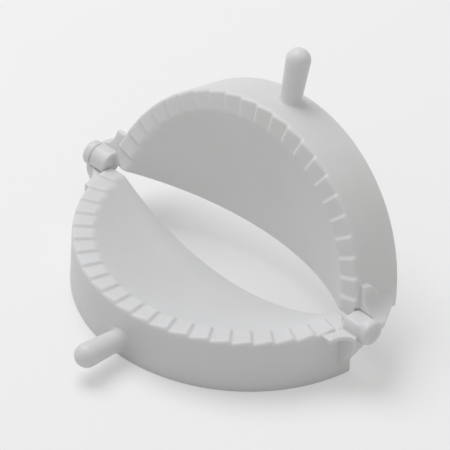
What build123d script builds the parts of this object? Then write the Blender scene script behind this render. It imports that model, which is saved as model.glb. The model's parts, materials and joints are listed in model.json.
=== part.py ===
from build123d import *

import math
import os

# A dumpling press in white moulded plastic, shown propped half open.
#
# The press is two identical half-round mouldings that snap together at a hinge.
# Each one has a shallow half bowl for the filling, a saw-tooth band of pleats round
# the rim, a deep skirt that cuts the dough when the press is turned over, and a peg
# to squeeze it by. At one end of its straight side it has a knuckle with a stub pin,
# and at the other a bored cheek, so one moulding turned half round fits the other.
#
# Frame: millimetres, +Z up, +X along the hinge, origin on the surface it stands on,
# in the middle of the room that the propped press takes up. The front half lies flat
# towards -Y and the back half leans up behind it. Both are drawn round the point below
# the middle of the hinge, and moved together at the end. Lengths called "ahead" are
# measured away from the hinge line over the half they belong to, and lengths called
# "drop" down from the hinge axis.

# Half moulding
rim_radius = 52.0        # outside of the skirt, from the centre of the round
centre_setback = 6.0     # the centre of the round lies this far behind the hinge line
wall = 1.5               # thickness of skirt, rim plate and bowl
end_gap = 0.15           # each straight edge stops this short of the hinge plane
knuckle_overlap = 0.5    # but it runs this far past the plane under the knuckle
relief_clearance = 0.8   # and beside the cheek it clears the other half's knuckle by this
cutting_edge = 0.7       # thickness of the skirt at its lower edge
cutting_bevel = 1.6      # height of the inside bevel that thins it
lean_angle = 75.0        # how far the back half is lifted from lying flat

# Pleats
pleat_count = 23         # pleats on each half
pleat_band = 7.0         # width of the pleated rim
pleat_rise = 0.8         # height of a pleat's step
bite_gap = 1.0           # room left for dough between the closed rims
step_gap = 0.3           # and between the steps that then face each other
pleat_lip = 0.4          # flat lip between the bowl and the pleats
pleat_fade = 1.6         # the steps fade out over this length at their inner ends
rim_bevel = 1.2          # bevel from the pleats down to the outside of the skirt

# Bowl
bowl_depth = 15.0        # deepest point of the bowl below the hinge axis
floor_room = 2.5         # room between the underside of the bowl and the surface

# Peg handle
peg_length = 18.2        # from the skirt to the end of the dome
peg_root_radius = 3.1    # the peg swells gently towards its end
peg_tip_radius = 3.6
peg_height = 7.0         # middle of the peg's root above the lower edge of the skirt
peg_lift = 5.5           # the peg points this many degrees up from flat
peg_flare = 0.7          # short cone where the peg meets the skirt

# Knuckle with stub pin
knuckle_radius = 3.9
knuckle_top = 2.9        # flat top above the hinge axis
knuckle_inset = 1.4      # its inner end lies this far inside the rim
knuckle_length = 6.0
pin_radius = 1.9
pin_reach = 2.6          # how far the pin stands out of the knuckle
pin_lead = 0.4           # bevel round its end
web_front = 4.9          # front of the tapering web under the knuckle
web_shoulder = 5.6       # drop at which the web starts to taper
web_drop = 14.0          # its lower end
ledge_length = 10.8      # ledge beside the knuckle, along the skirt
ledge_width = 3.4        # how far it stands out of the skirt at its far end
ledge_drop = 0.9         # its top
ledge_thickness = 1.7
recess_width = 5.5       # the pleats stop at a slanted line, this far in on the straight edge
recess_length = 5.8      # and this far along the skirt

# Bored cheek
cheek_radius = 4.0
cheek_cap = 0.6          # closed outer end of its bore
cheek_clearance = 0.3    # between the knuckle's end and the cheek
bore_clearance = 0.08    # all round the pin
pin_end_gap = 0.2        # between the pin's end and the end of the bore
cheek_bevel = 1.2        # bevel of the cheek's outer edge
arm_front = 2.6          # front of the arm that carries the cheek, at its outer end
notch_inset = 1.7        # the corner is cut away from here inside the knuckle's inner end
notch_clearance = 0.4    # so that the other half's knuckle can turn in it
notch_room = 1.2         # below that knuckle
pocket_wall = 1.2        # wall round the notch inside the rim
pad_length = 11.0        # thick pad on the skirt that the arm grows from
pad_tail = 8.6           # it is shorter at its lower end
pad_width = 2.2          # how far it stands out of the skirt
pad_top = 2.0            # its drop at the top, where it bends, and at its lower end
pad_bend = 5.0
pad_drop = 8.4
cove_length = 8.6        # hollow sweep from the skirt to the arm, along the skirt

overrun = 1.0            # how far a cutter runs past what it cuts

# Places that follow from the sizes
hinge_height = bowl_depth + wall + floor_room
band_radius = rim_radius - pleat_band
lip_radius = band_radius + pleat_lip
pleat_foot = hinge_height - (bite_gap + pleat_rise) / 2
pleat_top = pleat_foot + pleat_rise
bowl_floor = floor_room + wall
bowl_sag = pleat_foot - bowl_floor
bowl_curve = (band_radius ** 2 + bowl_sag ** 2) / (2 * bowl_sag)
skirt_front = rim_radius - centre_setback
knuckle_inner = rim_radius - knuckle_inset
knuckle_outer = knuckle_inner + knuckle_length
recess_inner = rim_radius - recess_width
bore_end = knuckle_outer + pin_reach + pin_end_gap
cheek_inner = knuckle_outer + cheek_clearance
cheek_outer = bore_end + cheek_cap
cheek_relief = knuckle_overlap + relief_clearance
bore_radius = pin_radius + bore_clearance
notch_inner = knuckle_inner - notch_inset
notch_width = knuckle_radius + notch_clearance
notch_depth = knuckle_radius + notch_room
arm_reach = cheek_outer - cheek_bevel
round_axis = Axis((0, centre_setback, 0), (0, 0, 1))
hinge_axis = Axis((0, 0, hinge_height), (1, 0, 0))


def skirt_reach(ahead):
    """Distance from the middle of the hinge to the outside of the skirt, this far ahead."""
    return math.sqrt(rim_radius ** 2 - (ahead + centre_setback) ** 2)


def round_point(radius, angle, height):
    """A point given by its radius and angle about the centre of the round."""
    return (
        radius * math.cos(angle),
        centre_setback + radius * math.sin(angle),
        height,
    )


def turned(points):
    """A closed outline of radius and height, turned about the centre of the round."""
    outline = Polyline(*points, close=True)
    return revolve(make_face(Plane.XZ.offset(-centre_setback) * outline), round_axis)


def ball(radius):
    """A ball whose lowest part gives the bowl's curve, with its seam turned to the top."""
    return Pos(0, centre_setback, bowl_floor + bowl_curve) * Rot(0, -90, 0) * Sphere(radius)


def shell():
    """Skirt, rim plate and half bowl, before the hinge ends are added."""
    inside = rim_radius - wall
    reach = band_radius - overrun
    rim = turned(
        [
            (rim_radius - cutting_edge, 0),
            (rim_radius, 0),
            (rim_radius, pleat_top - rim_bevel),
            (rim_radius - rim_bevel + pleat_rise, pleat_foot),
            (reach, pleat_foot),
            (reach, pleat_foot - wall),
            (inside, pleat_foot - wall),
            (inside, cutting_bevel),
        ]
    )
    lowest = floor_room - overrun
    room = turned([(0, lowest), (inside, lowest), (inside, pleat_foot), (0, pleat_foot)])
    return rim.fuse(room & ball(bowl_curve + wall)) - ball(bowl_curve)


def pleat(start, pitch):
    """One pleat: a ramp that climbs along the rim and ends in a radial step."""
    foot = pleat_foot - wall / 2
    end = start + pitch - step_gap / rim_radius / 2
    outlines = []
    for radius in (band_radius - overrun, rim_radius + overrun):
        corners = [
            round_point(radius, start, foot),
            round_point(radius, end, foot),
            round_point(radius, end, pleat_top),
            round_point(radius, start, pleat_foot),
        ]
        outlines.append(Wire.make_polygon(corners, close=True))
    return Solid.make_loft(outlines, ruled=True)


def pleats():
    """The saw-tooth band, bevelled down to the skirt and faded out towards the bowl."""
    start = math.pi + math.asin(centre_setback / rim_radius)
    pitch = (3 * math.pi - 2 * start) / pleat_count
    teeth = [pleat(start + number * pitch, pitch) for number in range(pleat_count)]
    foot = pleat_foot - wall / 2
    limit = turned(
        [
            (lip_radius, foot),
            (rim_radius, foot),
            (rim_radius, pleat_top - rim_bevel),
            (rim_radius - rim_bevel, pleat_top),
            (lip_radius + pleat_fade, pleat_top),
            (lip_radius, pleat_foot),
        ]
    )
    return [tooth & limit for tooth in teeth]


def block(x_range, ahead_range, drop_range):
    """A box given by its limits along the hinge, ahead of it and below its axis."""
    x_size = x_range[1] - x_range[0]
    y_size = ahead_range[1] - ahead_range[0]
    z_size = drop_range[1] - drop_range[0]
    corner = (x_range[0], -ahead_range[1], hinge_height - drop_range[1])
    return Pos(*corner) * Box(x_size, y_size, z_size, align=Align.MIN)


def raised(outline, drop_range):
    """A plate with this outline seen from above, between two drops."""
    thickness = drop_range[1] - drop_range[0]
    return extrude(Pos(0, 0, hinge_height - drop_range[1]) * make_face(outline), thickness)


def plan(points):
    """A line seen from above through points given along and ahead of the hinge."""
    return Polyline(*[(x, -ahead) for x, ahead in points])


def upright(points, ahead_range):
    """A plate from its outline seen along Y, in distances along the hinge and drops."""
    outline = Polyline(*[(x, hinge_height - drop) for x, drop in points], close=True)
    thickness = ahead_range[1] - ahead_range[0]
    return extrude(Plane.XZ.offset(ahead_range[0]) * make_face(outline), thickness)


def rod(radius, x_range):
    """A round bar along the hinge axis."""
    length = x_range[1] - x_range[0]
    start = Plane((x_range[0], 0, hinge_height), z_dir=(1, 0, 0))
    return start * Cylinder(radius, length, align=(Align.CENTER, Align.CENTER, Align.MIN))


def swept(root_length, stand_out, tip, inside):
    """Outline from above whose front edge sweeps in a hollow curve from the skirt to its tip."""
    reach = skirt_reach(root_length)
    foot = (reach + stand_out, root_length)
    curve = EllipticalCenterArc(
        (tip[0], -root_length),
        tip[0] - foot[0],
        root_length - tip[1],
        start_angle=180,
        arc_size=-90,
    )
    return curve + plan([tip, *inside, (reach - wall / 2, root_length), foot])


def knuckle_end():
    """Knuckle, stub pin, web and ledge at the +X end of the front half."""
    span = (knuckle_inner, knuckle_outer)
    below_flat = block(span, (-knuckle_radius, knuckle_radius), (-knuckle_top, knuckle_radius))
    knuckle = rod(knuckle_radius, span) & below_flat
    rooted = knuckle_inner - wall / 2
    web = upright(
        [
            (rooted, ledge_drop),
            (knuckle_outer, ledge_drop),
            (knuckle_outer, web_shoulder),
            (skirt_reach(end_gap), web_drop),
            (rooted, web_drop),
        ],
        (-knuckle_overlap, web_front),
    )
    inside = [
        (knuckle_outer, end_gap),
        (recess_inner, end_gap),
        (skirt_reach(recess_length) - wall / 2, recess_length),
    ]
    outline = swept(ledge_length, ledge_width, (knuckle_outer, web_front), inside)
    ledge = raised(outline, (ledge_drop, ledge_drop + ledge_thickness))
    pin = rod(pin_radius, (knuckle_outer - overrun, knuckle_outer + pin_reach))
    pin = chamfer(pin.edges().group_by(Axis.X)[-1], pin_lead)
    return [knuckle, web, ledge, pin]


def recess():
    """What is cut from the pleats so that they stop short of the knuckle."""
    beyond = rim_radius + overrun
    outline = plan(
        [
            (recess_inner, -overrun),
            (recess_inner, end_gap),
            (skirt_reach(recess_length), recess_length),
            (beyond, recess_length),
            (beyond, -overrun),
            (recess_inner, -overrun),
        ]
    )
    return raised(outline, (-knuckle_top, ledge_drop))


def cheek_root():
    """Arm, pad and notch walls that carry the cheek, drawn at the +X end towards -Y."""
    skirt_foot = hinge_height - cutting_bevel
    taper = upright(
        [
            (notch_inner, pad_top),
            (arm_reach, pad_top),
            (cheek_outer, cheek_radius),
            (skirt_reach(0), skirt_foot),
            (notch_inner, skirt_foot),
        ],
        (0, pad_length),
    )
    pad_side = Polyline(
        *[
            (-ahead, hinge_height - drop)
            for ahead, drop in [
                (0, pad_top),
                (pad_length, pad_top),
                (pad_length, pad_bend),
                (pad_tail, pad_drop),
                (0, pad_drop),
            ]
        ],
        close=True,
    )
    pad_limit = extrude(Plane.YZ * make_face(pad_side), cheek_outer)
    tip = (arm_reach, arm_front)
    inside = [(cheek_outer, arm_front - cheek_bevel), (cheek_outer, 0), (notch_inner, 0)]
    pad = raised(swept(pad_length, pad_width, tip, inside), (pad_top, pad_drop))
    arm = raised(swept(cove_length, 0, tip, inside), (pad_bend, skirt_foot)) & taper
    pocket = block(
        (notch_inner - pocket_wall, skirt_reach(notch_width + pocket_wall)),
        (0, notch_width + pocket_wall),
        (hinge_height - pleat_foot, notch_depth + pocket_wall),
    )
    return [pad & taper & pad_limit, arm, pocket]


def cheek():
    """The bored cheek, drawn at the +X end."""
    disc = rod(cheek_radius, (cheek_inner, cheek_outer))
    disc = chamfer(disc.edges().group_by(Axis.X)[-1], cheek_bevel)
    return disc - rod(bore_radius, (cheek_inner - overrun, bore_end))


def peg():
    """The handle: a bar that swells gently to a domed end, flared where it leaves the skirt."""
    shoulder = peg_length - peg_tip_radius
    sunk = wall / 2
    foot_radius = peg_root_radius + peg_flare
    profile = (
        Polyline(
            (0, -sunk),
            (foot_radius, -sunk),
            (foot_radius, 0),
            (peg_root_radius, peg_flare),
            (peg_tip_radius, shoulder),
        )
        + RadiusArc((peg_tip_radius, shoulder), (0, peg_length), -peg_tip_radius)
        + Line((0, peg_length), (0, -sunk))
    )
    bar = revolve(make_face(profile), Axis.Y)
    return Pos(0, -skirt_front, peg_height) * Rot(180 - peg_lift, 0, 0) * bar


def half_moulding():
    """One whole moulding, lying flat towards -Y with its cheek at the -X end."""
    far = rim_radius + cheek_outer
    room = raised(
        plan(
            [
                (-far, cheek_relief),
                (-notch_inner, cheek_relief),
                (-notch_inner, end_gap),
                (knuckle_inner, end_gap),
                (knuckle_inner, -knuckle_overlap),
                (far, -knuckle_overlap),
                (far, far),
                (-far, far),
                (-far, cheek_relief),
            ]
        ),
        (-knuckle_top, hinge_height + overrun),
    )
    notch = block((notch_inner, cheek_inner), (-overrun, notch_width), (-knuckle_top, notch_depth))
    rim = shell().fuse(*pleats()) - recess()
    rim = rim.fuse(*[mirror(piece, Plane.YZ) for piece in cheek_root()])
    rim = (rim & room) - mirror(notch, Plane.YZ)
    return rim.fuse(mirror(cheek(), Plane.YZ), peg(), *knuckle_end()).clean()


front_half = half_moulding()
back_half = front_half.rotate(Axis.Z, 180).rotate(hinge_axis, lean_angle)

room_taken = Compound([front_half, back_half]).bounding_box()
to_middle = Pos(0, -room_taken.center().Y, 0)

os.makedirs("parts", exist_ok=True)
export_step(to_middle * front_half, "parts/front_half.step")
export_step(to_middle * back_half, "parts/back_half.step")
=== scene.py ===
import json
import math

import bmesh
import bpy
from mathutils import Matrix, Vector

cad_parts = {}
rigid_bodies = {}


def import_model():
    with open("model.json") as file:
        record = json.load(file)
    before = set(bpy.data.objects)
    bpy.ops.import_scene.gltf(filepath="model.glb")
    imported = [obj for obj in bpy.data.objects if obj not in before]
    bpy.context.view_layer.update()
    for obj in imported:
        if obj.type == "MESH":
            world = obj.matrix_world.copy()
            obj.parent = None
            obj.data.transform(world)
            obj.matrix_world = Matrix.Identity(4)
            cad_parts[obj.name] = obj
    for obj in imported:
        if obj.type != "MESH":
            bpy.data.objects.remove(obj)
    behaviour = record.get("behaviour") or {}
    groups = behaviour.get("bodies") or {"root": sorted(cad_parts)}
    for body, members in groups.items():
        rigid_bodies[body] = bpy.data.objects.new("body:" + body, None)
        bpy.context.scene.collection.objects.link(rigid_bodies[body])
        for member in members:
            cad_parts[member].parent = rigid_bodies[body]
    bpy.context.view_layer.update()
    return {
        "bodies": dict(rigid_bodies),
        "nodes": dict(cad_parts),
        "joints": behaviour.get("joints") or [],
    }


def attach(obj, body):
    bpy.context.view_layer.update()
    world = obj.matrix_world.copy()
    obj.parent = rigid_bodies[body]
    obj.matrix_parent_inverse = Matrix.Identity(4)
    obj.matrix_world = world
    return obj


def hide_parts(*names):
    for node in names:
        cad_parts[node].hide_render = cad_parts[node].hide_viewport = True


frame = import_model()        # bodies, nodes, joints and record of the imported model

# %% [markdown]
# # A dumpling press in white moulded plastic
#
# The press is two identical mouldings that snap together at a hinge. Each is a half-round
# shell with a shallow bowl, a saw-tooth rim that crimps the dough, a deep cutting skirt and
# a peg to squeeze it by. The CAD solids have the right sizes but crisp edges, and white
# plastic shows its shape by the way light rolls over soft ones. So this file models both
# halves again with real rounds, gives them a satin finish, and photographs them on a plain
# pale floor.
#
# Sizes of the press are in millimetres, as on a drawing. MM turns them into the metres that
# Blender counts in.

MM = 0.001
hinge = Vector(frame["joints"][0]["pos_m"])
for body in frame["bodies"]:
    print("body:", body)
print("hinge axis passes through, mm:", [round(v / MM, 2) for v in hinge])

# %% [markdown]
# ## The camera
#
# The photograph looks down on the press from its front right corner with a long lens, so
# lines that run away hardly draw together. A lens of nearly 550 mm, two metres away, gives
# the same flat look. The picture is also turned about three degrees, which tips the floor
# a little. A Track To constraint could aim the camera but wouldn't turn the picture, so the
# camera's three axes are worked out here and put into its matrix. The numbers were found
# by matching points of the press to the picture.

# %% Camera
camera_turn = 42.603        # degrees round from the front, towards +X
camera_height = 38.79       # degrees above the floor
camera_roll = 3.052         # degrees that the picture is turned
camera_distance = 2080 * MM
lens_mm = 548.53
picture_middle = (0.7216, -19.648)   # where the hinge's foot lies from the picture's middle, mm

def towards(turn, height):
    """Unit vector from the press to a place this many degrees round from the front and up."""
    turn, height = math.radians(turn), math.radians(height)
    return Vector((math.sin(turn) * math.cos(height), -math.cos(turn) * math.cos(height),
                   math.sin(height)))

backwards = towards(camera_turn, camera_height)
level = (-backwards).cross(Vector((0, 0, 1))).normalized()
upright = level.cross(-backwards)
roll = math.radians(camera_roll)
side = level * math.cos(roll) + upright * math.sin(roll)
top = upright * math.cos(roll) - level * math.sin(roll)
foot_of_hinge = Vector((hinge.x, hinge.y, 0))
place = (foot_of_hinge + backwards * camera_distance
         - side * picture_middle[0] * MM - top * picture_middle[1] * MM)

camera_data = bpy.data.cameras.new("camera")
camera_data.lens = lens_mm
camera_data.sensor_width = 36.0
camera_data.clip_start = 0.1
camera_data.clip_end = 50.0
camera = bpy.data.objects.new("camera", camera_data)
axes = Matrix((side, top, backwards)).transposed().to_4x4()
camera.matrix_world = Matrix.Translation(place) @ axes
bpy.context.scene.collection.objects.link(camera)
bpy.context.scene.camera = camera
print("camera at, mm:", [round(v / MM) for v in place])

# %% [markdown]
# ## The floor
#
# The press stands on a plain white ground. A studio bends its backdrop upwards to hide the
# line where floor meets wall, but this camera looks down so steeply that it sees no wall.
# One large square, drawn by a single bmesh operator, is enough. Every mesh in this file is
# drawn as a bmesh like this one, and the helper here makes an object of it.

# %% Floor
floor_half = 3.0            # metres from the floor's middle to each side

def solid_object(name, bm):
    """Make a named object from a bmesh, at the origin, and free the bmesh."""
    mesh = bpy.data.meshes.new(name)
    bm.to_mesh(mesh)
    bm.free()
    made = bpy.data.objects.new(name, mesh)
    bpy.context.scene.collection.objects.link(made)
    return made

floor_mesh = bmesh.new()
bmesh.ops.create_grid(floor_mesh, x_segments=1, y_segments=1, size=floor_half)
floor = solid_object("floor", floor_mesh)
print("floor:", 2 * floor_half, "m across")

# %% [markdown]
# The ground in the picture is nearly as bright as paper, with one soft shadow to the right
# of the press. A floor as white as that would throw so much light up at the press that its
# shading went flat. So the floor itself is a little greyer, and a faint glow comes on top
# of it that only the camera and mirrored rays see, which the Light Path node can tell from
# the rest. A studio does the same when it lights the backdrop more than the object.

# %% Floor paint
floor_white = 0.72          # the share of the light that the floor sends back
floor_glow = 0.263          # what the camera sees on top of that

def math_node(tree, operation, second=None):
    """A Math node in this node tree, with its second value set where one is given."""
    node = tree.nodes.new("ShaderNodeMath")
    node.operation = operation
    if second is not None:
        node.inputs[1].default_value = second
    return node

floor_paint = bpy.data.materials.new("floor_paint")
floor_paint.use_nodes = True
tree = floor_paint.node_tree
tree.nodes.clear()
matt = tree.nodes.new("ShaderNodeBsdfDiffuse")
matt.inputs["Color"].default_value = (floor_white, floor_white, floor_white, 1)
glow = tree.nodes.new("ShaderNodeEmission")
path = tree.nodes.new("ShaderNodeLightPath")
seen = math_node(tree, "MAXIMUM")
strength = math_node(tree, "MULTIPLY", floor_glow)
both = tree.nodes.new("ShaderNodeAddShader")
end = tree.nodes.new("ShaderNodeOutputMaterial")
tree.links.new(path.outputs["Is Camera Ray"], seen.inputs[0])
tree.links.new(path.outputs["Is Glossy Ray"], seen.inputs[1])
tree.links.new(seen.outputs[0], strength.inputs[0])
tree.links.new(strength.outputs[0], glow.inputs["Strength"])
tree.links.new(matt.outputs[0], both.inputs[0])
tree.links.new(glow.outputs[0], both.inputs[1])
tree.links.new(both.outputs[0], end.inputs["Surface"])
floor.data.materials.append(floor_paint)
print("floor sends back", floor_white, "and glows", floor_glow)

# %% [markdown]
# ## The light
#
# The picture was lit softly from the left and above. One broad soft box stands there, and
# the room around is an even white. The box throws the shadow to the right and models the
# pleats, and the room fills what the box leaves, so that no side goes black. A sun lamp
# would throw a harder shadow, and a picture of a studio wrapped round the scene couldn't
# be tuned part by part, so two plain sources do it. The box is a touch cooler than the
# room, and the Standard view shows both without a film look.

# %% Light
room_light = 0.475
room_tint = (1.0, 0.994, 0.982)
box_turn = -93.0            # where the soft box stands: degrees round from the front
box_height = 65.0           # degrees above the floor
box_distance = 1.2          # metres from the hinge's foot
box_size = 0.9              # metres across
box_watts = 6.3
box_tint = (0.97, 0.985, 1.0)

world = bpy.data.worlds.new("room")
bpy.context.scene.world = world
world.use_nodes = True
world.node_tree.nodes["Background"].inputs["Color"].default_value = (*room_tint, 1)
world.node_tree.nodes["Background"].inputs["Strength"].default_value = room_light

lamp_data = bpy.data.lights.new("soft_box", "AREA")
lamp_data.shape = "DISK"
lamp_data.size = box_size
lamp_data.energy = box_watts
lamp_data.color = box_tint
lamp = bpy.data.objects.new("soft_box", lamp_data)
towards_box = towards(box_turn, box_height)
lamp.location = foot_of_hinge + towards_box * box_distance
lamp.rotation_euler = towards_box.to_track_quat("Z", "Y").to_euler()
bpy.context.scene.collection.objects.link(lamp)

bpy.context.scene.view_settings.view_transform = "Standard"
print("light comes from", [round(v, 2) for v in towards_box])

# %% [markdown]
# ## The satin plastic
#
# The press is white polypropylene, straight from the mould. It is not flat white: the skin
# is finely matt, and the way the plastic flowed leaves very faint cloudy bands and waves.
# A picture of such a skin would have to be unwrapped over every curve. Three noises that
# read the position in the object need no unwrapping and never show a seam. They live in a
# node group, so that any material can take the same grain from one place: a cloud mask
# comes out of it, and a height made of long waves and a little fine grain.

# %% Moulded grain as a node group
# For each noise, how many times it repeats in a metre and how much detail it has.
noise_kinds = {"Cloud size": (40.0, 3.0), "Grain size": (1600.0, 2.0), "Wave size": (120.0, 1.0)}
noise_roughness = 0.55
grain_share = 0.18          # how much the fine grain adds to the waves

def moulded_grain_group():
    """Node group: a soft cloud mask and a fine height for a moulded skin."""
    group = bpy.data.node_groups.new("moulded_grain", "ShaderNodeTree")
    new_socket = group.interface.new_socket
    new_socket("Position", in_out="INPUT", socket_type="NodeSocketVector")
    for name, (size, _) in noise_kinds.items():
        new_socket(name, in_out="INPUT", socket_type="NodeSocketFloat").default_value = size
    new_socket("Clouds", in_out="OUTPUT", socket_type="NodeSocketFloat")
    new_socket("Height", in_out="OUTPUT", socket_type="NodeSocketFloat")
    entry = group.nodes.new("NodeGroupInput")
    leave = group.nodes.new("NodeGroupOutput")
    noises = {}
    for name, (_, detail) in noise_kinds.items():
        noise = group.nodes.new("ShaderNodeTexNoise")
        noise.inputs["Detail"].default_value = detail
        noise.inputs["Roughness"].default_value = noise_roughness
        group.links.new(entry.outputs["Position"], noise.inputs["Vector"])
        group.links.new(entry.outputs[name], noise.inputs["Scale"])
        noises[name] = noise
    weigh = math_node(group, "MULTIPLY_ADD", grain_share)
    group.links.new(noises["Grain size"].outputs["Fac"], weigh.inputs[0])
    group.links.new(noises["Wave size"].outputs["Fac"], weigh.inputs[2])
    group.links.new(noises["Cloud size"].outputs["Fac"], leave.inputs["Clouds"])
    group.links.new(weigh.outputs[0], leave.inputs["Height"])
    return group

moulded_grain = moulded_grain_group()
print("group:", moulded_grain.name, "with", len(moulded_grain.nodes), "nodes")

# %% [markdown]
# Thin white plastic isn't a painted wall: light goes a few millimetres into it and comes
# out next to where it went in, which fills the small shadows and softens every edge. A
# paler colour would lift lit and shaded sides alike, so part of the shader's light is sent
# under the skin instead, as subsurface scattering. The cloud mask shifts colour and gloss
# a little, just enough that no face looks cut from paper, and the height makes a bump that
# is too fine to model.

# %% How the plastic takes light
plastic_white = (0.800, 0.801, 0.811)       # the lit skin, very slightly cool
plastic_shadow = (0.772, 0.771, 0.764)      # where the flow left it a touch duller
cloud_edges = (0.30, 0.62)                  # the part of the cloud mask where one turns into the other
satin_roughness = (0.34, 0.46)
plastic_ior = 1.49
light_share_inside = 0.45                   # how much of the light goes under the skin
light_reach = 2.5                           # how far it goes there, mm
light_reach_by_colour = (1.0, 0.95, 0.85)   # red light goes furthest, blue least
bump_strength = 0.25
bump_height = 0.06                          # mm
print("plastic: roughness", satin_roughness, "and light reaches", light_reach, "mm into it")

# %% [markdown]
# The material could be laid out by hand in the Shader Editor. A function writes the same
# nodes each time, and can be read as a list of what feeds what: the position goes into the
# grain, its clouds into colour and gloss, its height into the bump, and those three into
# one Principled shader.

# %% The white plastic
def moulded_plastic(name):
    """White satin polypropylene with a moulded skin."""
    plastic = bpy.data.materials.new(name)
    plastic.use_nodes = True
    nodes, links = plastic.node_tree.nodes, plastic.node_tree.links
    shader = nodes["Principled BSDF"]
    shader.inputs["IOR"].default_value = plastic_ior
    shader.inputs["Subsurface Weight"].default_value = light_share_inside
    shader.inputs["Subsurface Radius"].default_value = light_reach_by_colour
    shader.inputs["Subsurface Scale"].default_value = light_reach * MM
    where = nodes.new("ShaderNodeTexCoord")
    grain = nodes.new("ShaderNodeGroup")
    grain.node_tree = moulded_grain
    tint = nodes.new("ShaderNodeValToRGB")
    for stop, position, colour in zip(tint.color_ramp.elements, cloud_edges,
                                      (plastic_shadow, plastic_white)):
        stop.position = position
        stop.color = (*colour, 1)
    gloss = nodes.new("ShaderNodeMapRange")
    gloss.inputs["To Min"].default_value, gloss.inputs["To Max"].default_value = satin_roughness
    bump = nodes.new("ShaderNodeBump")
    bump.inputs["Strength"].default_value = bump_strength
    bump.inputs["Distance"].default_value = bump_height * MM
    links.new(where.outputs["Object"], grain.inputs["Position"])
    links.new(grain.outputs["Clouds"], tint.inputs["Fac"])
    links.new(tint.outputs["Color"], shader.inputs["Base Color"])
    links.new(grain.outputs["Clouds"], gloss.inputs["Value"])
    links.new(gloss.outputs["Result"], shader.inputs["Roughness"])
    links.new(grain.outputs["Height"], bump.inputs["Height"])
    links.new(bump.outputs["Normal"], shader.inputs["Normal"])
    return plastic

white_plastic = moulded_plastic("white_plastic")
print("material:", white_plastic.name)

# %% [markdown]
# ## The sizes of one moulding
#
# Both halves come out of the same mould, so everything below makes one half, lying flat in
# front of the hinge's foot, and the other is the same shape turned into place. The CAD
# solids carry the same sizes with crisp bevels. The wall is 1.5 mm nearly everywhere, as in
# most moulded kitchen tools, because a thick spot would sink in as it cools. The bowl is
# part of a ball, whose size follows from how wide and how deep the bowl is.

# %% Sizes that follow the drawing, in mm
rim_radius = 52.0           # outside of the skirt, from the centre of the round
centre_setback = 6.0        # the centre of the round lies this far behind the hinge
wall = 1.5
skirt_edge = 0.7            # the skirt thins to this at its foot, where it cuts the dough
skirt_foot = 1.6            # height at which it has its full wall again
hinge_height = hinge.z / MM
end_gap = 0.15              # the straight side stops this short of the hinge
band_radius = 45.0          # where the bowl ends and the pleated band starts
pleat_count = 23
pleat_foot = 18.1           # height of the band at the foot of each pleat
pleat_rise = 0.8
bowl_floor = 4.0            # lowest point of the bowl
bowl_sag = pleat_foot - bowl_floor
bowl_curve = (band_radius ** 2 + bowl_sag ** 2) / (2 * bowl_sag)
ball_height = bowl_floor + bowl_curve
print("the bowl is part of a ball of", round(bowl_curve, 1), "mm radius")

# %% [markdown]
# ## Outlines
#
# A turned or pressed shape starts as a thin line, its outline. Small helpers draw one: a
# chain of straight edges, an arc made by spinning a single point, a rounded corner made by
# bevelling a vertex, and one that finds the long straight edges, which need more points
# along them. That is less to get wrong than lists of coordinates, and a corner's radius
# stays a number that can be tried.

# %% Helpers for outlines
def chain(bm, points, start=None):
    """Straight edges through these points of the XZ plane, in mm; gives the new vertices."""
    made = [start] if start else []
    for x, z in points:
        made.append(bm.verts.new((x * MM, 0, z * MM)))
        if len(made) > 1:
            bm.edges.new(made[-2:])
    return made

def last_vertex(spun):
    """The vertex at which a spin of one vertex has ended."""
    return next(part for part in spun["geom_last"] if isinstance(part, bmesh.types.BMVert))

def arc(bm, start, centre, degrees, steps):
    """Edges from a vertex along an arc in the XZ plane; gives the last vertex."""
    return last_vertex(bmesh.ops.spin(
        bm, geom=[start], cent=(centre[0] * MM, 0, centre[1] * MM), axis=(0, 1, 0), dvec=(0, 0, 0),
        angle=math.radians(degrees), steps=steps, use_duplicate=False))

def round_corner(bm, x, z, size, segments=4):
    """Round the outline's corner nearest to this point, starting this far from it."""
    point = Vector((x * MM, 0, z * MM))
    corner = min(bm.verts, key=lambda vertex: (vertex.co - point).length)
    bmesh.ops.bevel(bm, geom=[corner], offset=size * MM, segments=segments, profile=0.5,
                    affect="VERTICES", material=-1)

def edges_between(bm, shortest, longest):
    """Edges with a length between these, in mm."""
    return [edge for edge in bm.edges if shortest * MM <= edge.calc_length() < longest * MM]

print("outline helpers ready")

# %% [markdown]
# ## The outline of the shell
#
# Skirt, pleated band and bowl are one wall, turned about the centre of the round, so a cut
# through them shows a single closed outline: up the bowl, over the band, down the skirt,
# round its thin cutting edge, and back along the underside. A single line could be given
# its thickness by Solidify, but then inner and outer corners would share one round. Here
# every corner has its own, as in the mould.

# %% Cross-section of the shell
inner_start = 3.0           # the outline keeps clear of the centre, which the cut takes away
bowl_steps, under_steps = 26, 18    # points along the bowl's two arcs
skirt_cuts, band_cuts = 7, 10       # and along the skirt's sides and the band's top
inside = rim_radius - wall
plate_under = pleat_foot - wall
under_curve = bowl_curve + wall
under_radius = math.sqrt(under_curve ** 2 - (ball_height - plate_under) ** 2)
# For each corner after the bowl's lip, how far out and how high it lies, and its round.
corners = [(rim_radius, pleat_foot, 0.85), (rim_radius, 0, 0.25), (rim_radius - skirt_edge, 0, 0.25),
           (inside, skirt_foot, 0.6), (inside, plate_under, 0.9), (under_radius, plate_under, 0.9)]
lip_corner = (band_radius, pleat_foot, 1.0)

def ball_angle(radius, curve):
    """Degrees of a ball's section from where the outline starts to this far out."""
    return math.degrees(math.asin(radius / curve) - math.asin(inner_start / curve))

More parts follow.
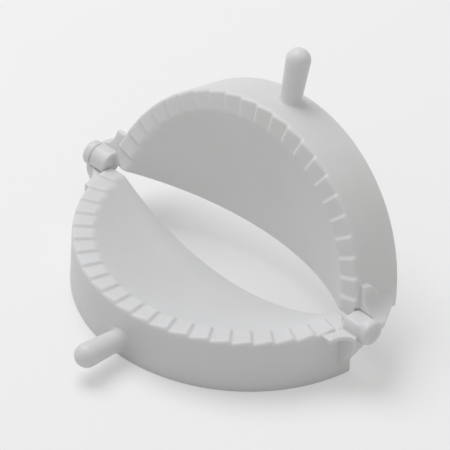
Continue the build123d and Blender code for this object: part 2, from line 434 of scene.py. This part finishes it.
shell = bmesh.new()
low = chain(shell, [(inner_start, ball_height - math.sqrt(bowl_curve ** 2 - inner_start ** 2))])[0]
lip = arc(shell, low, (0, ball_height), -ball_angle(band_radius, bowl_curve), bowl_steps)
under_lip = chain(shell, [(x, z) for x, z, _ in corners], lip)[-1]
under_low = arc(shell, under_lip, (0, ball_height), ball_angle(under_radius, under_curve), under_steps)
shell.edges.new((under_low, low))
for x, z, size in (*corners, lip_corner):
    round_corner(shell, x, z, size)

# Only the skirt's two sides are 10 to 20 mm long, and only the band's top 3.8 to 6 mm.
skirt_sides = edges_between(shell, 10, 20)
bmesh.ops.subdivide_edges(shell, edges=skirt_sides, cuts=skirt_cuts)
band_top = edges_between(shell, 3.8, 6)
bmesh.ops.subdivide_edges(shell, edges=band_top, cuts=band_cuts)
print("the outline has", len(shell.verts), "points")

# %% [markdown]
# ## One pleat
#
# The band that crimps the dough has 23 pleats, all alike: a ramp that climbs 0.8 mm and
# ends in a step. Rather than shape each one, the outline is spun through one pleat's angle
# and that slice gets its ramp and step. Later it is copied round. The columns of points in
# the slice are crowded towards its two ends, because the step lies there and needs them.

# %% Spin the outline through one pleat
start_angle = math.pi + math.asin(centre_setback / rim_radius)
pitch = (3 * math.pi - 2 * start_angle) / pleat_count
slice_columns = 20
round_centre = Vector((0, centre_setback * MM, 0))

bmesh.ops.translate(shell, vec=round_centre, verts=shell.verts)
bmesh.ops.rotate(shell, cent=round_centre, matrix=Matrix.Rotation(start_angle, 3, "Z"),
                 verts=shell.verts)
bmesh.ops.spin(shell, geom=shell.verts[:] + shell.edges[:], cent=round_centre, axis=(0, 0, 1),
               dvec=(0, 0, 0), angle=pitch, steps=slice_columns, use_merge=False, use_duplicate=False)
print("one slice:", len(shell.faces), "faces,", round(math.degrees(pitch), 2), "degrees wide")

# %% [markdown]
# In the photograph no pleat has a hard edge. Its step is a soft S a fifth of a pleat wide,
# and the ramp fades into the bowl on one side and into the round of the rim on the other.
# A displacement picture could do it, but a formula is sharper and stays a formula: each
# point of the band is lifted by the height of the pleat times the two fades.

# %% Ramp and step
crowding = 0.72             # how much the columns crowd towards the step
step_half = 0.10            # half the width of the soft step, in parts of a pleat
fade_in = (band_radius - 0.9, band_radius + 1.3)    # the ramp grows out of the bowl between these
fade_out = (rim_radius - 0.8, rim_radius + 0.3)     # and sinks into the round of the rim
band_skin = pleat_foot - 0.6    # what lies higher than this, near the rim, is the band's upper side

def smooth_step(value, low, high):
    """0 below low, 1 above high, and a soft S between."""
    part = min(max((value - low) / (high - low), 0.0), 1.0)
    return part * part * (3 - 2 * part)

def pleat_shape(along):
    """Height of a pleat, 0 to 1, where along runs from 0 to 1 over one pleat."""
    if along < step_half:
        return 1.0 - smooth_step(along, -step_half, step_half)
    if along > 1 - step_half:
        return 1.0 - smooth_step(along, 1 - step_half, 1 + step_half)
    return (along - step_half) / (1 - 2 * step_half)

for vertex in shell.verts:
    out = vertex.co - round_centre
    radius = math.hypot(out.x, out.y)
    along = (math.atan2(out.y, out.x) % (2 * math.pi) - start_angle) / pitch
    crowded = along - crowding * math.sin(2 * math.pi * along) / (2 * math.pi)
    angle = start_angle + crowded * pitch
    vertex.co.x = radius * math.cos(angle)
    vertex.co.y = radius * math.sin(angle) + round_centre.y
    if vertex.co.z > band_skin * MM:
        from_bowl = smooth_step(radius / MM, *fade_in)
        to_rim = 1 - smooth_step(radius / MM, *fade_out)
        vertex.co.z += pleat_rise * MM * pleat_shape(crowded) * from_bowl * to_rim
print("a pleat is", round(rim_radius * pitch, 1), "mm long at the rim and", pleat_rise, "mm high")

# %% [markdown]
# ## The whole shell
#
# The slice now goes round once for each pleat. An Array modifier with an empty to turn by
# would do, but spin can copy as well as sweep, and then the copies are in the same mesh
# and can be merged where they meet.

# %% Copy the slice round
merge_distance = 0.002 * MM

bmesh.ops.spin(shell, geom=shell.verts[:] + shell.edges[:] + shell.faces[:], cent=round_centre,
               axis=(0, 0, 1), dvec=(0, 0, 0), angle=pitch * (pleat_count - 1), steps=pleat_count - 1,
               use_merge=False, use_duplicate=True)
bmesh.ops.remove_doubles(shell, verts=shell.verts, dist=merge_distance)
print("round shell:", len(shell.faces), "faces")

# %% [markdown]
# The straight side is cut with a plane, just in front of the hinge, and the cut wall gets a
# lid. The rim of that lid needs a small round, and a bevel would stumble over its many
# short edges. So three cuts just inside of it lay down edge loops first, which leave the
# shape as it is and only give the round its points.

# %% Cut the straight side
plane_distance = 0.0005 * MM    # points this close to a cutting plane count as on it
edge_round = 0.4
loop_depths = (1, 0.55, 0.2, 0)  # where the edge loops lie, as parts of the round; 0 is the cut
cut_y = -end_gap * MM

for depth in loop_depths:
    bmesh.ops.bisect_plane(shell, geom=shell.verts[:] + shell.edges[:] + shell.faces[:],
                           dist=plane_distance, plane_co=(0, cut_y - depth * edge_round * MM, 0),
                           plane_no=(0, 1, 0), clear_outer=depth == 0)
bmesh.ops.recalc_face_normals(shell, faces=shell.faces)
cut_rim = [edge for edge in shell.edges if edge.is_boundary]
lid = bmesh.ops.contextual_create(shell, geom=cut_rim)["faces"]
bmesh.ops.triangulate(shell, faces=lid)
bmesh.ops.recalc_face_normals(shell, faces=shell.faces)
print("the cut is", round(-cut_y / MM, 2), "mm in front of the hinge, its rim has", len(cut_rim), "edges")

# %% [markdown]
# A mould can't make a knife edge. Each loop is now drawn in, square to the wall, and the
# further the nearer it is to the end. That is a round of 0.4 mm made by moving points, and
# it works on any wall, however its cross-section runs.

# %% Round the cut
lid_normal = 0.95           # faces that look this much along Y belong to the lid

def round_the_end(bm, end_y, size):
    """Draw the wall in towards the end of the straight side, along a quarter round."""
    bm.normal_update()
    moves = []
    for vertex in bm.verts:
        depth = size - (end_y - vertex.co.y) / MM
        if depth > 0:
            sides = [face.normal * face.calc_area() for face in vertex.link_faces
                     if abs(face.normal.y) < lid_normal]
            outwards = sum(sides, Vector())
            outwards.y = 0
            drawn = size - math.sqrt(max(size ** 2 - depth ** 2, 0))
            if outwards.length > 0:
                moves.append((vertex, outwards.normalized() * drawn * MM))
    for vertex, move in moves:
        vertex.co -= move

round_the_end(shell, cut_y, edge_round)
print("shell:", len(shell.faces), "faces,", sum(edge.is_boundary for edge in shell.edges), "open edges,",
      round(shell.calc_volume() / MM ** 3), "mm3")

# %% [markdown]
# ## Room beside the hinge
#
# Near the knuckle the pleats stop along a slanted line, so that the other half's arm can
# swing past. Cutting them off would leave a sharp wall. Instead the points of the band
# beyond that line are let down to the foot of the pleats, with a soft edge half a
# millimetre wide.

# %% Let the pleats down beside the knuckle
recess_start = Vector((47.3, -end_gap))
recess_end = Vector((51.0, -3.8))
recess_soft = 0.25          # half the width of the soft edge
along_recess = recess_end - recess_start
across_recess = Vector((-along_recess.y, along_recess.x)).normalized()

for vertex in shell.verts:
    rise = vertex.co.z / MM - pleat_foot
    if rise > 0:
        flat = Vector((vertex.co.x / MM, vertex.co.y / MM))
        beyond = (flat - recess_start).dot(across_recess)
        vertex.co.z -= rise * MM * smooth_step(beyond, -recess_soft, recess_soft)
print("pleats let down over", round(along_recess.length, 1), "mm of the band")

# %% [markdown]
# ## Taking away and growing together
#
# From here on, shapes are cut out of each other or joined, as a toolmaker cuts a mould. The
# bodies that do it are mostly plain boxes, and round bars along the hinge. They could be
# added as objects from the Add menu, but as bmeshes they can still be cut, bevelled and
# laid together before they are used.

# %% Boxes and bars
def box_mesh(low, high):
    """A box between two corners, in mm, as a bmesh."""
    made = bmesh.new()
    bmesh.ops.create_cube(made, size=MM)
    bmesh.ops.scale(made, vec=Vector(high) - Vector(low), verts=made.verts)
    bmesh.ops.translate(made, vec=(Vector(high) + Vector(low)) / 2 * MM, verts=made.verts)
    return made

def bar(radius, low, high, segments=64):
    """A round bar along the hinge axis, between two distances from its middle."""
    made = bmesh.new()
    bmesh.ops.create_cone(made, cap_ends=True, segments=segments, radius1=radius * MM,
                          radius2=radius * MM, depth=(high - low) * MM)
    bmesh.ops.rotate(made, cent=(0, 0, 0), matrix=Matrix.Rotation(math.pi / 2, 3, "Y"),
                     verts=made.verts)
    bmesh.ops.translate(made, vec=((high + low) / 2 * MM, 0, hinge.z), verts=made.verts)
    return made

print("bars lie on the hinge axis,", round(hinge_height, 1), "mm up")

# %% [markdown]
# Moving points by hand gets hard where round meets flat, and a boolean does it exactly, as
# long as the meshes are closed. Its manifold solver takes only closed ones and gives a
# closed one back, which the export needs. It may cut a flat face into other triangles from
# one run to the next: the surface is the same, and only its shading can vary a little. The
# modifier works on objects, so two are made for the moment and put away again.

# %% Booleans
def finished_mesh(piece):
    """The mesh of an object with its modifiers applied, and the object put away."""
    graph = bpy.context.evaluated_depsgraph_get()
    made = bmesh.new()
    made.from_mesh(bpy.data.meshes.new_from_object(piece.evaluated_get(graph)))
    bpy.data.objects.remove(piece)
    return made

def combined(operation, bm, *others):
    """One closed mesh less the others ("DIFFERENCE"), or grown together with them ("UNION")."""
    for other in others:
        piece, tool = solid_object("worked_on", bm), solid_object("tool", other)
        modifier = piece.modifiers.new("combine", "BOOLEAN")
        modifier.operation = operation
        modifier.solver = "MANIFOLD"
        modifier.object = tool
        bm = finished_mesh(piece)
        bpy.data.objects.remove(tool)
    return bm

print("booleans ready")

# %% [markdown]
# At its left end each half makes room for the other half's knuckle, which turns there, and
# for the web under it. The knuckle's room is a round hollow about the hinge axis, a little
# wider than the knuckle, and the web's is a square corner in the straight side. Both are
# cut through the shell by a bar and a box.

# %% The notch
notch_inner = 50.3
notch_radius = 4.0
cheek_inner = 56.9          # where the cheek with the bore starts
hollow_sides = 96           # of a bar that cuts a round hollow
web_corner = (49.6, 0.85)   # the other half's web passes outside of this corner
below, behind, above = 1, 2, 4      # how far the box stands out of what it cuts

notch = bar(notch_radius, -cheek_inner, -notch_inner, hollow_sides)
web_way = box_mesh((-cheek_inner, -web_corner[1], -below),
                   (-web_corner[0], behind, hinge_height + above))
shell = combined("DIFFERENCE", shell, notch, web_way)
print("shell after the notch:", len(shell.faces), "faces,",
      round(shell.calc_volume() / MM ** 3), "mm3")

# %% [markdown]
# ## The peg
#
# A short handle to squeeze the press by. It is a turned shape: a bar that swells a little
# towards a domed end, and flares softly where it leaves the skirt. A cylinder and a ball
# could be joined, but an outline spun a full turn, with its seam merged, gives swell, dome
# and flare in one go. The outline runs on past the flare, so that its foot is sunk in the
# curved skirt all the way round. The peg rises a few degrees, as it does in the picture.

# %% Peg
peg_length = 18.18
peg_tip = 3.85              # radius of the domed end
peg_root = 3.3              # radius next to the flare
peg_flare = 1.1             # radius of the hollow between peg and skirt
flare_spread = 1.2          # how much wider the sunk foot is
flare_sunk = 0.7            # and how deep it reaches
peg_height = 7.0            # where the peg's middle leaves the skirt
peg_lift = 5.5              # degrees
peg_sides = 48
flare_steps, dome_steps, shaft_cuts = 6, 12, 5
skirt_front = rim_radius - centre_setback
shaft_length = peg_length - peg_tip

peg = bmesh.new()
foot = chain(peg, [(peg_root + peg_flare + flare_spread, -flare_sunk), (peg_root + peg_flare, 0)])[-1]
neck = arc(peg, foot, (peg_root + peg_flare, peg_flare), 90, flare_steps)
shoulder = chain(peg, [(peg_tip, shaft_length)], neck)[-1]
arc(peg, shoulder, (0, shaft_length), -90, dome_steps)
shaft = edges_between(peg, 10, 20)
bmesh.ops.subdivide_edges(peg, edges=shaft, cuts=shaft_cuts)
bmesh.ops.spin(peg, geom=peg.verts[:] + peg.edges[:], cent=(0, 0, 0), axis=(0, 0, 1), dvec=(0, 0, 0),
               angle=2 * math.pi, steps=peg_sides, use_merge=True, use_duplicate=False)
bmesh.ops.remove_doubles(peg, verts=peg.verts, dist=merge_distance)
bmesh.ops.holes_fill(peg, edges=[edge for edge in peg.edges if edge.is_boundary], sides=0)
bmesh.ops.recalc_face_normals(peg, faces=peg.faces)
bmesh.ops.rotate(peg, cent=(0, 0, 0), matrix=Matrix.Rotation(math.radians(90 - peg_lift), 3, "X"),
                 verts=peg.verts)
bmesh.ops.translate(peg, vec=(0, -skirt_front * MM, peg_height * MM), verts=peg.verts)
print("peg:", len(peg.faces), "faces")

# %% [markdown]
# ## The hinge ends
#
# At its right end each half has a knuckle with a stub pin, a web below it and a ledge in
# front. At its left end it has a cheek with the bore, on an arm, with a pad in front. All
# of it grows out of the curved skirt. Places measured by hand would be wrong after the
# first change of size, so one helper works out how far out the skirt is. The other cuts a
# body off flat and closes the cut, as Bisect with Fill does in the editor.

# %% Reach of the skirt, and flat cuts
def reach(ahead):
    """Distance from the middle of the hinge to the outside of the skirt, this far ahead."""
    return math.sqrt(rim_radius ** 2 - (ahead + centre_setback) ** 2)

def cut_flat(bm, point, outwards):
    """Cut off what lies beyond the plane through this point, in mm, and close the cut."""
    cut = bmesh.ops.bisect_plane(bm, geom=bm.verts[:] + bm.edges[:] + bm.faces[:], dist=plane_distance,
                                 plane_co=Vector(point) * MM, plane_no=outwards, clear_outer=True)
    rim = [part for part in cut["geom_cut"] if isinstance(part, bmesh.types.BMEdge)]
    bmesh.ops.contextual_create(bm, geom=rim)

print("the skirt's outside is", round(reach(0), 1), "mm from the middle at the hinge")

# %% [markdown]
# The ledge, the arm and the pad are plates whose front edge sweeps from the skirt to a tip
# in a hollow curve. Each is an outline seen from above, made thick by extruding it. The
# sweep could be a Bezier curve with handles set by eye. A quarter circle that is stretched
# to a quarter ellipse needs none: whatever the sizes are, it starts along the side of the
# skirt and ends straight outwards at the tip.

# %% Plates
sweep_steps = 10

def plate(outline, low, high):
    """A plate between two heights, from a bmesh that holds its closed outline from above."""
    face = bmesh.ops.contextual_create(outline, geom=outline.edges[:])["faces"]
    bmesh.ops.translate(outline, vec=(0, 0, low * MM), verts=outline.verts)
    grown = bmesh.ops.extrude_face_region(outline, geom=face, use_keep_orig=True)
    upper = [part for part in grown["geom"] if isinstance(part, bmesh.types.BMVert)]
    bmesh.ops.translate(outline, vec=(0, 0, (high - low) * MM), verts=upper)
    bmesh.ops.recalc_face_normals(outline, faces=outline.faces)
    return outline

def swept_plate(root, stand_out, tip, others, low, high):
    """A plate whose front edge sweeps in a hollow quarter ellipse from the skirt to its tip.

    The sweep leaves the skirt this far ahead of the hinge (root), and this far outside of
    it (stand_out). The tip and the other corners are given as distances to the right of
    the hinge's middle and ahead of it.
    """
    foot = Vector((reach(root) + stand_out, root))
    size = (tip[0] - foot.x, foot.y - tip[1])
    made = bmesh.new()
    start = made.verts.new((0, -size[1] * MM, 0))
    last = last_vertex(bmesh.ops.spin(
        made, geom=[start], cent=(size[1] * MM, -size[1] * MM, 0), axis=(0, 0, 1), dvec=(0, 0, 0),
        angle=-math.pi / 2, steps=sweep_steps, use_duplicate=False))
    bmesh.ops.scale(made, vec=(size[0] / size[1], 1, 1), verts=made.verts)
    bmesh.ops.translate(made, vec=(foot.x * MM, -tip[1] * MM, 0), verts=made.verts)
    for x, ahead in [*others, (reach(root) - wall / 2, root)]:
        following = made.verts.new((x * MM, -ahead * MM, 0))
        made.edges.new((last, following))
        last = following
    made.edges.new((last, start))
    return plate(made, low, high)

print("plate helpers ready")

# %% [markdown]
# On the real press every corner between knuckle, web and ledge is filled by a small round,
# because plastic cracks at a sharp inner corner. Bevelling each crossing edge by hand is
# tiresome, and it fails where three rounds meet. Here the plain bodies are laid over each
# other in one mesh and remeshed as one skin of fine voxels, and a few passes of smoothing
# then melt the corners as the mould does. The pin and its bore come after that, because
# they need true circles.

# %% Helpers for casting
casting_spare = 0.3         # bodies whose end is cut flat later start this much too long
end_slack = 0.1             # points this close to a bar's end belong to it

def laid_together(*parts):
    """One bmesh that holds several."""
    whole = bmesh.new()
    for part in parts:
        mesh = bpy.data.meshes.new("part")
        part.to_mesh(mesh)
        part.free()
        whole.from_mesh(mesh)
        bpy.data.meshes.remove(mesh)
    return whole

def cast_in_one(bm, voxel=0.2, passes=6):
    """Remesh overlapping bodies as one skin of voxels this big, in mm, and soften its corners."""
    piece = solid_object("cast", bm)
    modifier = piece.modifiers.new("skin", "REMESH")
    modifier.mode = "VOXEL"
    modifier.voxel_size = voxel * MM
    made = finished_mesh(piece)
    for _ in range(passes):
        bmesh.ops.smooth_vert(made, verts=made.verts, factor=0.5, use_axis_x=True, use_axis_y=True,
                              use_axis_z=True)
    return made

def round_the_rim(made, end, size, segments):
    """Round the edge of a bar's outer end, which lies this far from the middle of the hinge."""
    limit = (end - end_slack) * MM
    rim = [edge for edge in made.edges if all(vertex.co.x > limit for vertex in edge.verts)]
    bmesh.ops.bevel(made, geom=rim, offset=size * MM, segments=segments, profile=0.5, affect="EDGES",
                    material=-1)

print("casting helpers ready")

# %% [markdown]
# ### The knuckle
#
# The knuckle is a bar on the hinge axis with a flat on top. The web stands under it and
# slopes back to the skirt, and the ledge runs forward from both. In the photograph the
# front half's knuckle shows a broad flat, but the back half's, which is seen from its other
# side, looks nearly round and much softer. So one function makes both, and takes how high
# the flat lies and how many times the corners are smoothed.

# %% Sizes of the knuckle, web, ledge and pin, in mm
knuckle_inner = 50.6
knuckle_outer = 56.6
knuckle_face = cheek_inner - 0.03   # almost up to the cheek, so the joint is a fine line
knuckle_radius = 3.9
knuckle_flat = 2.9          # height of the front half's flat over the hinge axis
knuckle_low_flat = 3.75     # and of the back half's, which hardly cuts into the round
web_front = 4.9             # the web reaches from here
web_back = 0.5              # to a little behind the hinge
web_shoulder = 5.6          # under the hinge axis, where the web starts to slope inwards
web_drop = 14.0             # and where it has met the skirt
ledge_top = hinge_height - 0.9
ledge_thickness = 1.7
ledge_root = 10.8           # how far ahead the ledge leaves the skirt
ledge_stand_out = 3.4       # and how far out its front corner stands
ledge_inner = 46.5          # its hidden corners: this far out, inside the straight side,
ledge_bend = 5.8            # and this far ahead, inside the skirt
pin_radius = 1.9
pin_length = 2.6
pin_sunk = 1.0              # how far the pin reaches back into the knuckle
pin_bevel = 0.4
pin_sides = 48
print("the knuckle is", round(knuckle_face - knuckle_inner, 2), "mm wide")

# %% [markdown]
# The web's slope and the knuckle's flat are plane cuts. The cast knuckle is cut off flat
# where it faces the cheek, since smoothing has rounded that end as well, and then the pin
# grows out of it. A boolean joins them, so the pin has a crisp foot and true circles.

# %% Knuckle, web, ledge and pin
def knuckle_end(flat, passes):
    """Knuckle, web, ledge and pin as one mesh. The flat lies this far over the hinge axis."""
    knuckle = bar(knuckle_radius, knuckle_inner, knuckle_face + casting_spare)
    cut_flat(knuckle, (0, 0, hinge_height + flat), (0, 0, 1))
    web = box_mesh((knuckle_inner - wall / 2, -web_front, hinge_height - web_drop),
                   (knuckle_face + casting_spare, web_back, ledge_top))
    web_slope = Vector((web_drop - web_shoulder, 0, reach(end_gap) - knuckle_outer)).normalized()
    cut_flat(web, (knuckle_outer, 0, hinge_height - web_shoulder), web_slope)
    behind_tip = [(knuckle_outer, end_gap), (ledge_inner, end_gap),
                  (reach(ledge_bend) - wall / 2, ledge_bend)]
    ledge = swept_plate(ledge_root, ledge_stand_out, (knuckle_outer, web_front), behind_tip,
                        ledge_top - ledge_thickness, ledge_top)
    pin = bar(pin_radius, knuckle_outer - pin_sunk, knuckle_outer + pin_length, pin_sides)
    round_the_rim(pin, knuckle_outer + pin_length, pin_bevel, segments=3)
    body = cast_in_one(laid_together(knuckle, web, ledge), passes=passes)
    cut_flat(body, (knuckle_face, 0, 0), (1, 0, 0))
    return combined("UNION", body, pin)

front_knuckle = knuckle_end(knuckle_flat, passes=8)
back_knuckle = knuckle_end(knuckle_low_flat, passes=20)
print("knuckles:", len(front_knuckle.faces), "and", len(back_knuckle.faces), "faces")

# %% [markdown]
# ### The cheek
#
# The cheek is a round disc with a bevelled rim. It holds the other half's pin, and stands
# on an arm that comes forward to meet the skirt. Over the arm lies a pad, which stands out
# further and slants back underneath. The outer side of both leans out as far as the disc's
# lowest point, and from there runs in to the foot of the skirt. A block round the notch
# gives it a floor and an inner wall. All this is drawn at the right end, where every
# distance is positive, and mirrored to the left at the last.

# %% Sizes of the cheek, arm, pad and bore, in mm
cheek_outer = 60.0
cheek_radius = 4.0
cheek_bevel = 1.2
cheek_bottom = hinge_height - cheek_radius
cheek_relief = 1.3          # arm and pad stop this short of the hinge plane
arm_reach = cheek_outer - cheek_bevel
arm_front = 2.6             # how far ahead of the hinge the tips of arm and pad lie
arm_root = 8.6              # how far ahead the arm leaves the skirt
arm_top = hinge_height - 5.0
pad_root = 11.0             # and the pad
pad_stand_out = 2.2
pad_bottom = hinge_height - 8.4
pad_top = hinge_height - 2.0
pocket_wall = 1.2           # plastic round the notch, in front and underneath
pocket_back = 1.4           # and at its inner end
bore_radius = 1.98
bore_floor = 0.6            # plastic left outside of the blind bore
bore_spare = 1.0            # its cutter starts this far before the cheek
print("running gap round the pin:", round(bore_radius - pin_radius, 2), "mm")

# %% [markdown]
# The bodies are laid together and cast in one, like the knuckle. Then two bars cut the
# block: one is the round hollow again, and the other the blind bore. The bore's cutter
# starts before the cheek, because a boolean between faces that lie in one plane can leave
# slivers. The mirror is a scale of minus one, which turns the mesh inside out, so its faces
# are reversed to look outwards.

# %% Cheek, arm and pad with the bore
def tapered(bm):
    """Trim an arm or pad to the cheek's outer side, over and under the disc's lowest point."""
    over = Vector((pad_top - cheek_bottom, 0, cheek_bevel)).normalized()
    under = Vector((cheek_bottom - skirt_foot, 0, reach(0) - cheek_outer)).normalized()
    cut_flat(bm, (arm_reach, 0, pad_top), over)
    cut_flat(bm, (cheek_outer, 0, cheek_bottom), under)
    return bm

arm_tip = (arm_reach, arm_front)
behind_arm = [(cheek_outer, arm_front - cheek_bevel), (cheek_outer, 0), (notch_inner, 0)]
pad = swept_plate(pad_root, pad_stand_out, arm_tip, behind_arm, pad_bottom, pad_top)
pad_slant = Vector((0, -(arm_top - pad_bottom), -(pad_root - arm_root))).normalized()
cut_flat(pad, (0, -pad_root, arm_top), pad_slant)
arm = swept_plate(arm_root, 0.0, arm_tip, behind_arm, skirt_foot, arm_top)
disc = bar(cheek_radius, cheek_inner - casting_spare, cheek_outer)
round_the_rim(disc, cheek_outer, cheek_bevel, segments=4)
pocket_reach = notch_radius + pocket_wall
pocket = box_mesh((notch_inner - pocket_back, -pocket_reach, hinge_height - pocket_reach),
                  (reach(pocket_reach), 0, pleat_foot))
for part in (pad, arm, pocket):
    cut_flat(part, (0, -cheek_relief, 0), (0, 1, 0))

cheek_end = cast_in_one(laid_together(tapered(pad), tapered(arm), disc, pocket))
hollow = bar(notch_radius, notch_inner, cheek_inner, hollow_sides)
bore = bar(bore_radius, cheek_inner - bore_spare, cheek_outer - bore_floor, pin_sides)
cheek_end = combined("DIFFERENCE", cheek_end, hollow, bore)
bmesh.ops.scale(cheek_end, vec=(-1, 1, 1), verts=cheek_end.verts)
bmesh.ops.reverse_faces(cheek_end, faces=cheek_end.faces)
print("cheek:", len(cheek_end.faces), "faces")

# %% [markdown]
# ## Two halves from one shape
#
# A mould makes shell, peg, knuckle and cheek as one piece of plastic. Left as separate
# meshes that overlap, they would show dark lines where they meet, because the light inside
# the plastic stops at the skin of each. So they are grown together, and each half is one
# closed mesh. Smooth shading with creases keeps the few sharp corners crisp. The back half
# is turned half round and lifted by the lean angle about the hinge, which is just how the
# two real mouldings meet. An object's rotation could hold that, but here it goes into the
# mesh, so that both objects stay at the origin.

# %% Put each half in its place
lean_angle = math.radians(75)
crease = math.radians(32)   # sharper corners than this stay crisp
plastic_pieces = []

def place_half(body, bm):
    """Put a half, drawn in front of the hinge's foot, in its place on its body."""
    for edge in bm.edges:
        edge.smooth = edge.calc_face_angle(0) < crease
    for face in bm.faces:
        face.smooth = True
    if body == "back":
        half_round = Matrix.Rotation(math.pi, 3, "Z")
        lifted = Matrix.Rotation(lean_angle, 3, "X")
        bmesh.ops.rotate(bm, cent=(0, 0, 0), matrix=half_round, verts=bm.verts)
        bmesh.ops.rotate(bm, cent=(0, 0, hinge.z), matrix=lifted, verts=bm.verts)
    bmesh.ops.translate(bm, vec=(hinge.x, hinge.y, 0), verts=bm.verts)
    triangles = sum(len(face.verts) - 2 for face in bm.faces)
    faulty = sum(not edge.is_manifold for edge in bm.edges)
    print(body, "half:", round(bm.calc_volume() / MM ** 3), "mm3,", triangles, "triangles,",
          faulty, "faulty edges")
    piece = solid_object(body + "_moulding", bm)
    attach(piece, body)
    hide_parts(body + "_half")
    plastic_pieces.append(piece)

place_half("front", combined("UNION", shell.copy(), peg.copy(), front_knuckle, cheek_end.copy()))
place_half("back", combined("UNION", shell, peg, back_knuckle, cheek_end))

# %% [markdown]
# ## Finish
#
# Both mouldings are the same plastic. The CAD solids, which they stand for, take it too.

# %% Materials
for piece in plastic_pieces + list(frame["nodes"].values()):
    piece.data.materials.clear()
    piece.data.materials.append(white_plastic)
